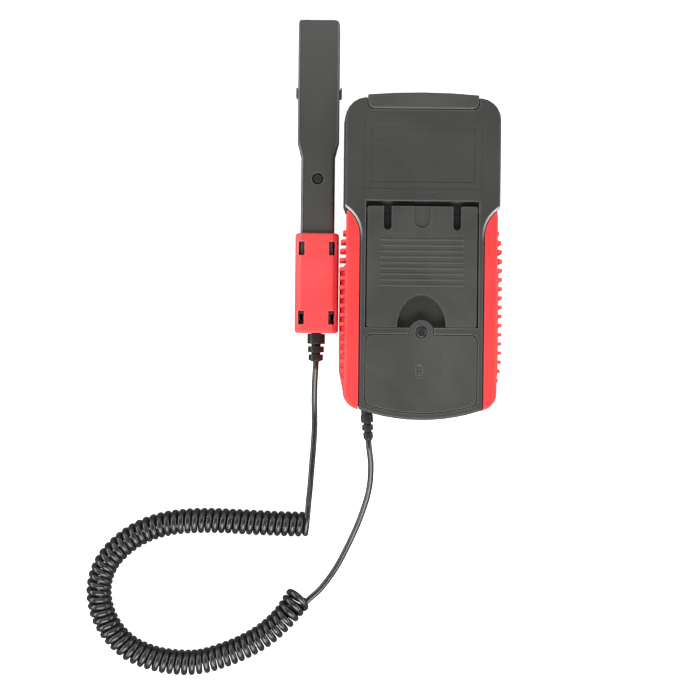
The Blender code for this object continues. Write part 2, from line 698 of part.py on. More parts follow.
clearScene()
makeRearCase()
makeFrontCase()
makeGrip("grip_right", 1)
makeGrip("grip_left", -1)
makeEndCap()
makeStand()
makeDoor()
makeScrew("door_screw", 0, doorScrewY, 35.75, 0.8, 4.5)
for sideNumber, screwSide in enumerate((-1, 1)):
    makeScrew("case_screw_%d" % (sideNumber + 1), 21 * screwSide, 12, 31.4, 1.7, 13.0)
    makeScrew("case_screw_%d" % (sideNumber + 3), 17 * screwSide, -73.2, 30.0, 1.7, 13.0)
makeKeypad()
makeInside()
makeBattery()
makeMeterRelief()
makeProbe()
makeCollar()
makeProbeRelief()
makeCord()
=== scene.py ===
import math

import bmesh
import bpy
import numpy as np
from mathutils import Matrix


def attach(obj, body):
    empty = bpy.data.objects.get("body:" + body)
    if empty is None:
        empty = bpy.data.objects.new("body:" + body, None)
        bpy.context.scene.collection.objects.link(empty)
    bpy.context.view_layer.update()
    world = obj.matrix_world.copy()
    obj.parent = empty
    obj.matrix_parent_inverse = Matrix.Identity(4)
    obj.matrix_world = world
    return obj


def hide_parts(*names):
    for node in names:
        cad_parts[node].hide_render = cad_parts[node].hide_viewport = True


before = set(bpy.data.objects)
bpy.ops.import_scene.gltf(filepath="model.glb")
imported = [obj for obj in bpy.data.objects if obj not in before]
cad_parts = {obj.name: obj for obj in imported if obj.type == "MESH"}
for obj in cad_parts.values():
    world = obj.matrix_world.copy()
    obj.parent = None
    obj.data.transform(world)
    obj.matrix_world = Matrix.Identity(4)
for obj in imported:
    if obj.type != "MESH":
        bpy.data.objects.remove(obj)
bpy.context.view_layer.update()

mm = 0.001
print("frame loaded:", len(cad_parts), "nodes")


# Camera, floor and lights

studio = {
    "cameraPlace": (-0.03728, -0.0443, 0.700),
    "cameraRoll": 0.0105,
    "lens": 70.65,
    "sensorWidth": 36.0,
    "nearClip": 0.01,
    "floorSize": 3.0,
    "floorDrop": 0.0002,
    "floorColour": (0.93, 0.93, 0.93),
    "floorRoughness": 0.9,
    "floorGlow": 0.9,
    "skyStrength": 0.20,
    "boxes": (  # name, place, aimed at, width, length, watts
        ("leftBox", (-0.80, -0.06, 0.30), (0.0, -0.03, 0.0), 1.1, 0.15, 3.6),
        ("rightBox", (0.80, -0.06, 0.30), (0.0, -0.03, 0.0), 1.1, 0.15, 3.2),
        ("frontBox", (0.0, -0.70, 0.62), (0.0, -0.03, 0.0), 0.85, 0.62, 8.6),
        ("backBox", (-0.15, 0.80, 0.75), (0.0, 0.0, 0.0), 1.5, 1.1, 4.4),
    ),
}


def buildStudio(values):
    scene = bpy.context.scene
    scene.view_settings.view_transform = "Standard"
    camera = bpy.data.objects.new("camera", bpy.data.cameras.new("camera"))
    camera.data.lens = values["lens"]
    camera.data.sensor_width = values["sensorWidth"]
    camera.data.clip_start = values["nearClip"]
    camera.location = values["cameraPlace"]
    camera.rotation_euler = (0.0, 0.0, values["cameraRoll"])
    scene.collection.objects.link(camera)
    scene.camera = camera
    for name, place, target, width, length, watts in values["boxes"]:
        light = bpy.data.lights.new(name, "AREA")
        light.shape = "RECTANGLE"
        light.size = width
        light.size_y = length
        light.energy = watts
        lamp = bpy.data.objects.new(name, light)
        lamp.location = place
        aim = np.array(target) - np.array(place)
        tilt = math.atan2(math.hypot(aim[0], aim[1]), -aim[2])
        lamp.rotation_euler = (tilt, 0.0, math.atan2(aim[1], aim[0]) - math.pi / 2)
        scene.collection.objects.link(lamp)
    world = bpy.data.worlds.new("softRoom")
    world.use_nodes = True
    world.node_tree.nodes["Background"].inputs["Color"].default_value = (1, 1, 1, 1)
    world.node_tree.nodes["Background"].inputs["Strength"].default_value = values["skyStrength"]
    scene.world = world
    half = values["floorSize"] / 2
    corners = np.array([(-half, -half), (half, -half), (half, half), (-half, half)])
    floor = addMesh("floor", np.c_[corners, np.full(4, -values["floorDrop"])], [(0, 1, 2, 3)])
    paint(floor, floorMaterial(values))
    floor.visible_glossy = False


# Meshes

def addMesh(name, points, faces, sharp=40.0):
    # An object from points and faces, smooth up to an angle of sharp degrees.
    mesh = bpy.data.meshes.new(name)
    mesh.from_pydata(np.asarray(points, float).tolist(), [], [list(map(int, f)) for f in faces])
    mesh.validate()
    mesh.shade_smooth()
    mesh.set_sharp_from_angle(angle=math.radians(sharp))
    piece = bpy.data.objects.new(name, mesh)
    bpy.context.scene.collection.objects.link(piece)
    return piece


def paint(piece, material):
    piece.data.materials.clear()
    piece.data.materials.append(material)


def gridFaces(rows, columns):
    # Quads of a tube: rows run along it, columns close around it.
    row = np.arange(rows - 1)[:, None] * columns
    column = np.arange(columns)[None, :]
    following = (column + 1) % columns
    quads = np.stack((row + column, row + following, row + columns + following, row + columns + column), -1)
    return quads.reshape(-1, 4).tolist()


def tubePiece(name, rings):
    # A closed tube through an array of rings, rows by columns by 3, with a fan at each end.
    rows, columns = rings.shape[:2]
    faces = gridFaces(rows, columns)
    points = rings.reshape(-1, 3)
    tail = len(points)
    points = np.vstack((points, rings[0].mean(0), rings[-1].mean(0)))
    last = (rows - 1) * columns
    for i in range(columns):
        j = (i + 1) % columns
        faces.append((j, i, tail))
        faces.append((last + i, last + j, tail + 1))
    return addMesh(name, points, faces)


def smoothLine(points, spacing):
    # Catmull-Rom curve through the points, evenly filled at about the spacing.
    points = np.asarray(points, float)
    ends = np.vstack((2 * points[0] - points[1], points, 2 * points[-1] - points[-2]))
    parts = []
    for a, b, c, d in zip(ends, ends[1:], ends[2:], ends[3:]):
        steps = max(2, int(round(np.linalg.norm(c - b) / spacing)))
        t = (np.arange(steps) / steps)[:, None]
        parts.append(0.5 * (2 * b + (c - a) * t + (2 * a - 5 * b + 4 * c - d) * t**2
                            + (3 * b - 3 * c + d - a) * t**3))
    return np.vstack(parts + [points[-1:]])


def tubeAlong(path, radii, sides):
    # point(i, a) = path(i) + radius(i) * (cos a * side(i) + sin a * up(i)), with frames that never twist.
    along = np.gradient(path, axis=0)
    along /= np.linalg.norm(along, axis=1)[:, None]
    side = np.zeros_like(path)
    first = np.cross(along[0], (0.0, 0.0, 1.0))
    side[0] = first / np.linalg.norm(first)
    for i in range(1, len(path)):
        turned = side[i - 1] - along[i] * np.dot(side[i - 1], along[i])
        side[i] = turned / np.linalg.norm(turned)
    up = np.cross(side, along)
    angle = np.linspace(0, 2 * np.pi, sides, endpoint=False)
    circle = np.cos(angle)[None, :, None] * side[:, None, :] + np.sin(angle)[None, :, None] * up[:, None, :]
    return path[:, None, :] + np.asarray(radii).reshape(-1, 1, 1) * circle


rounding = {
    "sharpAngle": 30.0,  # degrees between two faces
    "smallestFace": 1e-8,  # an edge of a smaller face stays sharp, in square metres
    "segments": 3,
    "weldDistance": 0.002 * mm,
    "areaWeight": 100,
}


def roundedCopy(node, body, edge, edgeAt=None):
    # The CAD solid with every sharp edge rounded. edgeAt may give another radius for an edge from the
    # place of its middle; radii are in millimetres.
    bm = bmesh.new()
    bm.from_mesh(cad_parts[node].data)
    bmesh.ops.remove_doubles(bm, verts=bm.verts, dist=rounding["weldDistance"])
    bmesh.ops.dissolve_degenerate(bm, dist=2 * rounding["weldDistance"], edges=bm.edges)
    weights = bm.edges.layers.float.new("bevel_weight_edge")
    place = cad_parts[node].matrix_world
    radii = {}
    for line in bm.edges:
        solid = min(face.calc_area() for face in line.link_faces) > rounding["smallestFace"]
        if solid and line.calc_face_angle(0.0) > math.radians(rounding["sharpAngle"]):
            middle = place @ ((line.verts[0].co + line.verts[1].co) / 2)
            special = edgeAt(*(middle / mm)) if edgeAt else None
            radii[line] = edge if special is None else special
    widest = max(radii.values())
    for line, radius in radii.items():
        line[weights] = radius / widest
    mesh = bpy.data.meshes.new(node + "_shell")
    bm.to_mesh(mesh)
    bm.free()
    mesh.shade_smooth()
    mesh.set_sharp_from_angle(angle=math.radians(rounding["sharpAngle"]))
    piece = bpy.data.objects.new(mesh.name, mesh)
    bpy.context.scene.collection.objects.link(piece)
    bevel = piece.modifiers.new("roundEdges", "BEVEL")
    bevel.width = widest * mm
    bevel.segments = rounding["segments"]
    bevel.limit_method = "WEIGHT"
    bevel.use_clamp_overlap = False
    bevel.miter_outer = "MITER_ARC"
    normals = piece.modifiers.new("evenShading", "WEIGHTED_NORMAL")
    normals.keep_sharp = False
    normals.weight = rounding["areaWeight"]
    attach(piece, body)
    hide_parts(node)
    return piece


# Shader helpers

def newGroup(name, inputs, outputs):
    group = bpy.data.node_groups.new(name, "ShaderNodeTree")
    for label, kind, value in inputs:
        socket = group.interface.new_socket(label, in_out="INPUT", socket_type=kind)
        socket.default_value = value
    for label, kind in outputs:
        group.interface.new_socket(label, in_out="OUTPUT", socket_type=kind)
    return group, group.nodes.new("NodeGroupInput"), group.nodes.new("NodeGroupOutput")


def addNode(tree, kind, **values):
    node = tree.nodes.new(kind)
    for key, value in values.items():
        if key in node.inputs:
            node.inputs[key].default_value = value
        else:
            setattr(node, key, value)
    return node


def objectPlace(tree):
    return addNode(tree, "ShaderNodeTexCoord").outputs["Object"]


def splitVector(tree, source):
    split = addNode(tree, "ShaderNodeSeparateXYZ")
    tree.links.new(source, split.inputs["Vector"])
    return split.outputs


def joinValues(tree, first, second, operation="MULTIPLY"):
    both = addNode(tree, "ShaderNodeMath", operation=operation)
    tree.links.new(first, both.inputs[0])
    tree.links.new(second, both.inputs[1])
    return both.outputs["Value"]


def vectorSteps(tree, source, steps):
    # Carries a vector through operations, each with its second vector, if it has one.
    for operation, second in steps:
        step = addNode(tree, "ShaderNodeVectorMath", operation=operation)
        tree.links.new(source, step.inputs[0])
        if second is not None:
            step.inputs[1].default_value = second
        source = step.outputs["Value" if operation == "LENGTH" else "Vector"]
    return source


def stretchValue(tree, source, low, high, start=0.3, end=0.7):
    # Carries source from start..end to low..high.
    ramp = addNode(tree, "ShaderNodeMapRange")
    ramp.inputs["From Min"].default_value = start
    ramp.inputs["From Max"].default_value = end
    ramp.inputs["To Min"].default_value = low
    ramp.inputs["To Max"].default_value = high
    tree.links.new(source, ramp.inputs["Value"])
    return ramp.outputs["Result"]


def stretchPlace(tree, source, ends, low=0.0, high=1.0):
    # The same with a distance, whose ends are in millimetres.
    return stretchValue(tree, source, low, high, ends[0] * mm, ends[1] * mm)


def blendColours(tree, factor, first, second):
    mix = addNode(tree, "ShaderNodeMix", data_type="RGBA")
    mix.inputs["A"].default_value = (*first, 1.0)
    mix.inputs["B"].default_value = (*second, 1.0)
    if factor is not None:
        tree.links.new(factor, mix.inputs["Factor"])
    return mix


def layOver(tree, under, amount, tone):
    # Blends a tone over the colour so far.
    over = blendColours(tree, amount, tone, tone)
    tree.links.new(under.outputs["Result"], over.inputs["A"])
    return over


# Shared shader effects

grainLook = {
    "fine": {"Detail": 3.0, "Roughness": 0.6},
    "slow": {"Detail": 5.0, "Roughness": 0.55, "Distortion": 0.4},
}


def mouldedGrainGroup(values):
    # Spark-eroded texture: fine noise over small pits, and a slow mottle for tone.
    group, inside, out = newGroup(
        "mouldedGrain",
        [("grainSize", "NodeSocketFloat", 3000.0), ("mottleSize", "NodeSocketFloat", 35.0)],
        [("height", "NodeSocketFloat"), ("mottle", "NodeSocketFloat")],
    )
    fine = addNode(group, "ShaderNodeTexNoise", **values["fine"])
    pits = addNode(group, "ShaderNodeTexVoronoi", feature="F1")
    slow = addNode(group, "ShaderNodeTexNoise", **values["slow"])
    place = objectPlace(group)
    link = group.links.new
    for texture, size in ((fine, "grainSize"), (pits, "grainSize"), (slow, "mottleSize")):
        link(place, texture.inputs["Vector"])
        link(inside.outputs[size], texture.inputs["Scale"])
    link(joinValues(group, fine.outputs["Fac"], pits.outputs["Distance"]), out.inputs["height"])
    link(slow.outputs["Fac"], out.inputs["mottle"])
    return group


wearLook = {
    "turn": (0.0, 0.0, 0.7),
    "stretch": (1.0, 14.0, 3.0),
    "lines": {"Detail": 2.0, "Roughness": 0.7},
    "lineLevels": (0.66, 0.74),
    "dots": {"Detail": 2.0},
    "dotLevels": (0.68, 0.78),
}


def handlingWearGroup(values):
    # Thin scratches and dull rubbed spots: stretched noise cut to its highest values.
    group, inside, out = newGroup(
        "handlingWear",
        [("scratchSize", "NodeSocketFloat", 60.0), ("spotSize", "NodeSocketFloat", 260.0)],
        [("scratches", "NodeSocketFloat"), ("spots", "NodeSocketFloat")],
    )
    turn = addNode(group, "ShaderNodeMapping", Rotation=values["turn"], Scale=values["stretch"])
    lines = addNode(group, "ShaderNodeTexNoise", **values["lines"])
    dots = addNode(group, "ShaderNodeTexNoise", **values["dots"])
    place = objectPlace(group)
    link = group.links.new
    link(place, turn.inputs["Vector"])
    link(turn.outputs["Vector"], lines.inputs["Vector"])
    link(inside.outputs["scratchSize"], lines.inputs["Scale"])
    link(place, dots.inputs["Vector"])
    link(inside.outputs["spotSize"], dots.inputs["Scale"])
    link(stretchValue(group, lines.outputs["Fac"], 0.0, 1.0, *values["lineLevels"]), out.inputs["scratches"])
    link(stretchValue(group, dots.outputs["Fac"], 0.0, 1.0, *values["dotLevels"]), out.inputs["spots"])
    return group


edgeLook = {
    "rays": 8,
    "levels": (0.92, 0.45),
    "noise": {"Scale": 220.0, "Detail": 3.0},
    "noiseLevels": (0.25, 0.7),
    "weakest": 0.55,
}


def convexEdgeGroup(values):
    # How close a point is to an outer edge: short rays sent inwards meet the other side of the edge.
    group, inside, out = newGroup(
        "convexEdge",
        [("reach", "NodeSocketFloat", 0.0008)],
        [("edge", "NodeSocketFloat")],
    )
    rays = addNode(group, "ShaderNodeAmbientOcclusion", samples=values["rays"], inside=True, only_local=True)
    noise = addNode(group, "ShaderNodeTexNoise", **values["noise"])
    link = group.links.new
    link(inside.outputs["reach"], rays.inputs["Distance"])
    link(objectPlace(group), noise.inputs["Vector"])
    level = stretchValue(group, rays.outputs["AO"], 0.0, 1.0, *values["levels"])
    uneven = stretchValue(group, noise.outputs["Fac"], values["weakest"], 1.0, *values["noiseLevels"])
    link(joinValues(group, level, uneven), out.inputs["edge"])
    return group


groups = {
    "grain": mouldedGrainGroup(grainLook),
    "wear": handlingWearGroup(wearLook),
    "edge": convexEdgeGroup(edgeLook),
}


# Materials

def newMaterial(name, roughness, metallic=0.0, **sockets):
    material = bpy.data.materials.new(name)
    material.use_nodes = True
    shader = material.node_tree.nodes["Principled BSDF"]
    shader.inputs["Roughness"].default_value = roughness
    shader.inputs["Metallic"].default_value = metallic
    for label, value in sockets.items():
        shader.inputs[label.replace("_", " ")].default_value = value
    return material, material.node_tree, shader


def boxMask(tree, centre, half):
    # 1 inside a box of the object's own space, given in millimetres, and 0 outside it.
    axes = splitVector(tree, vectorSteps(tree, objectPlace(tree), (
        ("SUBTRACT", [value * mm for value in centre]),
        ("ABSOLUTE", None),
        ("SUBTRACT", [value * mm for value in half]),
    )))
    farthest = joinValues(tree, joinValues(tree, axes["X"], axes["Y"], "MAXIMUM"), axes["Z"], "MAXIMUM")
    inside = addNode(tree, "ShaderNodeMath", operation="LESS_THAN")
    inside.inputs[1].default_value = 0.0
    tree.links.new(farthest, inside.inputs[0])
    return inside.outputs["Value"]


def arcMask(tree, values):
    # Follows an arc that is the same on both sides: 1 up to the first radius and 0 past the second,
    # growing along Y, and only near the top face.
    # Used to place a painted highlight on the slope above each grip.
    place = objectPlace(tree)
    axes = splitVector(tree, place)
    distance = vectorSteps(tree, place, (
        ("ABSOLUTE", None),
        ("SUBTRACT", [value * mm for value in (*values["centre"], 0.0)]),
        ("MULTIPLY", (1.0, 1.0, 0.0)),
        ("LENGTH", None),
    ))
    ring = stretchPlace(tree, distance, values["radius"], 1.0, 0.0)
    grown = stretchPlace(tree, axes["Y"], values["rise"])
    onTop = stretchPlace(tree, axes["Z"], values["above"])
    return joinValues(tree, joinValues(tree, ring, grown), onTop)


# The slow mottle changes the roughness by this share, and the grain is this deep.
surface = {"roughSpread": 0.18, "grainDepth": 0.1 * mm}


def addGrainBump(tree, shader, height, strength):
    bump = addNode(tree, "ShaderNodeBump", Strength=strength, Distance=surface["grainDepth"])
    tree.links.new(height, bump.inputs["Height"])
    tree.links.new(bump.outputs["Normal"], shader.inputs["Normal"])


def mouldedPlastic(name, values):
    # Moulded plastic or rubber: mottled tone, scratches, lighter edges (wear and painted highlight) and a fine
    # grain in the bump.
    material, tree, shader = newMaterial(name, values["roughness"])
    shader.inputs["Specular IOR Level"].default_value = values["gloss"]
    grain = addNode(tree, "ShaderNodeGroup", node_tree=groups["grain"])
    grain.inputs["grainSize"].default_value = values["grainSize"]
    grain.inputs["mottleSize"].default_value = values["mottleSize"]
    mottle = grain.outputs["mottle"]
    wear = addNode(tree, "ShaderNodeGroup", node_tree=groups["wear"])
    finish = blendColours(tree, stretchValue(tree, mottle, 0.0, 1.0), values["dark"], values["light"])
    scratched = addNode(tree, "ShaderNodeMath", operation="MULTIPLY")
    scratched.inputs[1].default_value = values["wear"]
    tree.links.new(wear.outputs["scratches"], scratched.inputs[0])
    finish = layOver(tree, finish, scratched.outputs["Value"], values["scratch"])
    if "fade" in values:
        # The tone grows lighter along one axis of the object.
        axis, ends, tone = values["fade"]
        axes = splitVector(tree, objectPlace(tree))
        finish = layOver(tree, finish, stretchPlace(tree, axes[axis], ends), tone)
    # Lighter convex edges: partly rubbed wear, partly a painted highlight where light catches the rounding.
    if "edgeWearAndHighlight" in values:
        edge = addNode(tree, "ShaderNodeGroup", node_tree=groups["edge"])
        edge.inputs["reach"].default_value = values["edgeReach"] * mm
        amount = edge.outputs["edge"]
        if "plainBox" in values:
            amount = joinValues(tree, amount, boxMask(tree, *values["plainBox"]), "SUBTRACT")
        finish = layOver(tree, finish, amount, values["edgeWearAndHighlight"])
    # Painted shade: a dark box over the deep slots in the rear case, where shade falls.
    if "paintedShadeBox" in values:
        finish = layOver(tree, finish, boxMask(tree, *values["paintedShadeBox"]), values["paintedShadeTone"])
    # Painted highlight: a light band on the sloped edge of the arc above each grip, where light glints.
    if "arcHighlight" in values:
        finish = layOver(tree, finish, arcMask(tree, values["arcHighlight"]), values["arcHighlight"]["tone"])
    tree.links.new(finish.outputs["Result"], shader.inputs["Base Color"])
    spread = values["roughness"] * surface["roughSpread"]
    rough = stretchValue(tree, mottle, values["roughness"] - spread, values["roughness"] + spread)
    tree.links.new(rough, shader.inputs["Roughness"])
    addGrainBump(tree, shader, grain.outputs["height"], values["bump"])
    return material


def floorMaterial(values):
    glow = values["floorGlow"]
    material, tree, shader = newMaterial("studioFloor", values["floorRoughness"], Emission_Strength=glow)
    shader.inputs["Base Color"].default_value = (*values["floorColour"], 1.0)
    shader.inputs["Emission Color"].default_value = (1.0, 1.0, 1.0, 1.0)
    return material


# edgeWearAndHighlight lightens outer edges, part rubbed wear and part painted highlight.
finishes = {
    "casePlastic": {
        "dark": (0.044, 0.044, 0.04), "light": (0.055, 0.055, 0.05), "scratch": (0.1, 0.1, 0.09), "wear": 0.3,
        "edgeWearAndHighlight": (0.24, 0.24, 0.235), "edgeReach": 0.8,
        "plainBox": ((0.0, 49.45, 36.0), (29.6, 17.3, 2.0)),
        # Painted shade over the deep slots in the rear case.
        "paintedShadeBox": ((0.0, 19.0, 30.0), (27.0, 7.0, 3.2)), "paintedShadeTone": (0.012, 0.012, 0.011),
        # Painted highlight along the sloped arc above each grip.
        "arcHighlight": {
            "centre": (46.5, 10.0), "radius": (16.9, 17.5), "rise": (7.0, 22.0), "above": (35.1, 35.4),
            "tone": (0.62, 0.62, 0.61),
        },
        "roughness": 0.48, "gloss": 0.45, "grainSize": 2600.0, "mottleSize": 28.0, "bump": 0.35,
    },
    "capPlastic": {
        "dark": (0.06, 0.06, 0.057), "light": (0.075, 0.075, 0.071), "scratch": (0.14, 0.14, 0.13), "wear": 0.3,
        "edgeWearAndHighlight": (0.24, 0.24, 0.235), "edgeReach": 0.8,
        "roughness": 0.44, "gloss": 0.5, "grainSize": 2600.0, "mottleSize": 40.0, "bump": 0.35,
    },
    "standPlastic": {
        "dark": (0.052, 0.052, 0.049),
        "light": (0.07, 0.07, 0.066),
        "scratch": (0.14, 0.14, 0.13),
        "wear": 0.35,
        "edgeWearAndHighlight": (0.15, 0.15, 0.146), "edgeReach": 0.7,
        "roughness": 0.48, "gloss": 0.45, "grainSize": 2600.0, "mottleSize": 30.0, "bump": 0.35,
    },
    "doorPlastic": {
        "dark": (0.047, 0.047, 0.044), "light": (0.07, 0.07, 0.067), "scratch": (0.11, 0.11, 0.1), "wear": 0.35,
        "edgeWearAndHighlight": (0.16, 0.16, 0.155), "edgeReach": 0.7,
        "roughness": 0.48, "gloss": 0.45, "grainSize": 2600.0, "mottleSize": 26.0, "bump": 0.35,
    },
    "markPlastic": {
        "dark": (0.1, 0.1, 0.097), "light": (0.135, 0.135, 0.13), "scratch": (0.17, 0.17, 0.16), "wear": 0.3,
        "roughness": 0.4, "gloss": 0.5, "grainSize": 2600.0, "mottleSize": 90.0, "bump": 0.2,
    },
    "probePlastic": {
        "dark": (0.047, 0.047, 0.044),
        "light": (0.066, 0.066, 0.062),
        "scratch": (0.14, 0.14, 0.13),
        "wear": 0.35,
        "fade": ("Y", (60.0, 112.0), (0.078, 0.078, 0.075)),
        "edgeWearAndHighlight": (0.17, 0.17, 0.165), "edgeReach": 1.1,
        "roughness": 0.44, "gloss": 0.5, "grainSize": 2600.0, "mottleSize": 16.0, "bump": 0.3,
    },
    "gripRubber": {
        "dark": (0.84, 0.049, 0.05), "light": (0.9, 0.063, 0.064), "scratch": (0.95, 0.16, 0.15), "wear": 0.12,
        "edgeWearAndHighlight": (0.95, 0.13, 0.13), "edgeReach": 0.9,
        "roughness": 0.44, "gloss": 0.4, "grainSize": 1900.0, "mottleSize": 30.0, "bump": 0.25,
    },
    "collarPlastic": {
        "dark": (0.84, 0.074, 0.077), "light": (0.92, 0.108, 0.113), "scratch": (0.97, 0.3, 0.3), "wear": 0.25,
        "edgeWearAndHighlight": (0.95, 0.2, 0.21), "edgeReach": 0.9,
        "roughness": 0.32, "gloss": 0.5, "grainSize": 1500.0, "mottleSize": 40.0, "bump": 0.12,
    },
    "keyRubber": {
        "dark": (0.16, 0.16, 0.16), "light": (0.2, 0.2, 0.2), "scratch": (0.3, 0.3, 0.3), "wear": 0.2,
        "roughness": 0.55, "gloss": 0.4, "grainSize": 2200.0, "mottleSize": 60.0, "bump": 0.2,
    },
    "cordJacket": {
        "dark": (0.012, 0.012, 0.011),
        "light": (0.016, 0.016, 0.015),
        "scratch": (0.04, 0.04, 0.038),
        "wear": 0.04,
        "roughness": 0.27, "gloss": 0.95, "grainSize": 900.0, "mottleSize": 120.0, "bump": 0.02,
    },
    "reliefRubber": {
        "dark": (0.01, 0.01, 0.009),
        "light": (0.016, 0.016, 0.015),
        "scratch": (0.05, 0.05, 0.045),
        "wear": 0.2,
        "edgeWearAndHighlight": (0.09, 0.09, 0.088), "edgeReach": 0.6,
        "roughness": 0.42, "gloss": 0.5, "grainSize": 1600.0, "mottleSize": 80.0, "bump": 0.15,
    },
    "blackPlastic": {
        "dark": (0.012, 0.012, 0.012), "light": (0.02, 0.02, 0.02), "scratch": (0.06, 0.06, 0.06), "wear": 0.3,
        "roughness": 0.45, "gloss": 0.5, "grainSize": 2000.0, "mottleSize": 90.0, "bump": 0.15,
    },
    "socketNylon": {
        "dark": (0.62, 0.58, 0.48), "light": (0.72, 0.69, 0.6), "scratch": (0.8, 0.78, 0.7), "wear": 0.2,
        "roughness": 0.4, "gloss": 0.5, "grainSize": 1500.0, "mottleSize": 90.0, "bump": 0.1,
    },
}
materials = {name: mouldedPlastic(name, values) for name, values in finishes.items()}

metals = {
    "blackSteel": {"colour": (0.115, 0.115, 0.113), "roughness": 0.34},
    "brushedSteel": {"colour": (0.56, 0.56, 0.55), "roughness": 0.28},
}
metalWear = {"scratchSize": 400.0, "spotSize": 900.0, "gain": 2.2, "lift": 0.05, "roughening": 0.2}


def steelMaterial(name, values):
    # Blackened or brushed metal: fine scratches, brighter than the rest, and rougher spots.
    colour, roughness = values["colour"], values["roughness"]
    material, tree, shader = newMaterial(name, roughness, 1.0)
    wear = addNode(tree, "ShaderNodeGroup", node_tree=groups["wear"])
    for size in ("scratchSize", "spotSize"):
        wear.inputs[size].default_value = metalWear[size]
    bright = tuple(min(1.0, part * metalWear["gain"] + metalWear["lift"]) for part in colour)
    tone = blendColours(tree, wear.outputs["scratches"], colour, bright)
    tree.links.new(tone.outputs["Result"], shader.inputs["Base Color"])
    roughest = roughness + metalWear["roughening"]
    rough = stretchValue(tree, wear.outputs["spots"], roughness, roughest, 0.0, 1.0)
    tree.links.new(rough, shader.inputs["Roughness"])
    return material


for metal, values in metals.items():
    materials[metal] = steelMaterial(metal, values)


board = {
    "roughness": 0.35,
    "coat": 0.3,
    "runSize": 160.0,
    "Color1": (0.006, 0.075, 0.024, 1.0),
    "Color2": (0.010, 0.105, 0.036, 1.0),
    "Mortar": (0.02, 0.16, 0.06, 1.0),
    "bump": 0.3,
}


def boardMaterial(values):
    # Green solder mask with straight copper runs showing through as a lighter green.
    material, tree, shader = newMaterial("solderMask", values["roughness"], Coat_Weight=values["coat"])
    bricks = addNode(tree, "ShaderNodeTexBrick", Scale=values["runSize"])
    for label in ("Color1", "Color2", "Mortar"):
        bricks.inputs[label].default_value = values[label]
    tree.links.new(objectPlace(tree), bricks.inputs["Vector"])
    tree.links.new(bricks.outputs["Color"], shader.inputs["Base Color"])
    addGrainBump(tree, shader, bricks.outputs["Fac"], values["bump"])
    return material


lens = {
    "roughness": 0.06,
    "clearness": 0.9,
    "ior": 1.49,
    "tint": (0.9, 0.93, 0.92, 1.0),
    "smudgeSize": 90.0,
    "smudgeLevels": (0.03, 0.12),
}


def lensMaterial(values):
    # Clear window with faint smudges in its roughness.
    material, tree, shader = newMaterial(
        "displayWindow", values["roughness"], Transmission_Weight=values["clearness"], IOR=values["ior"])
    shader.inputs["Base Color"].default_value = values["tint"]
    grain = addNode(tree, "ShaderNodeGroup", node_tree=groups["grain"])
    grain.inputs["mottleSize"].default_value = values["smudgeSize"]
    rough = stretchValue(tree, grain.outputs["mottle"], *values["smudgeLevels"])
    tree.links.new(rough, shader.inputs["Roughness"])
    return material


display = {"roughness": 0.25, "cellSize": 1400.0, "dark": (0.30, 0.36, 0.27), "light": (0.36, 0.42, 0.33)}


def displayMaterial(values):
    # Reflective LCD glass: grey-green, with a fine cell pattern.
    material, tree, shader = newMaterial("displayGlass", values["roughness"])
    cells = addNode(tree, "ShaderNodeTexVoronoi", Scale=values["cellSize"])
    tree.links.new(objectPlace(tree), cells.inputs["Vector"])
    tone = blendColours(tree, cells.outputs["Distance"], values["dark"], values["light"])
    tree.links.new(tone.outputs["Result"], shader.inputs["Base Color"])
    return material


batteryWrap = {
    "roughness": 0.32,
    "metal": 0.4,
    "bandEdge": (8.5, 8.7),
    "dark": (0.02, 0.02, 0.022),
    "copper": (0.55, 0.28, 0.10),
    "roughLevels": (0.26, 0.42),
}


def batteryMaterial(values):
    # Printed can: a dark wrap with a coppery band at the terminal end.
    material, tree, shader = newMaterial("batteryWrap", values["roughness"], values["metal"])
    axes = splitVector(tree, objectPlace(tree))
    step = stretchPlace(tree, axes["X"], values["bandEdge"])
    tone = blendColours(tree, step, values["dark"], values["copper"])
    tree.links.new(tone.outputs["Result"], shader.inputs["Base Color"])
    grain = addNode(tree, "ShaderNodeGroup", node_tree=groups["grain"])
    rough = stretchValue(tree, grain.outputs["mottle"], *values["roughLevels"])
    tree.links.new(rough, shader.inputs["Roughness"])
    return material


materials["solderMask"] = boardMaterial(board)
materials["displayWindow"] = lensMaterial(lens)
materials["displayGlass"] = displayMaterial(display)
materials["batteryWrap"] = batteryMaterial(batteryWrap)
print("materials:", len(materials))

buildStudio(studio)
print("studio built")


# Cord

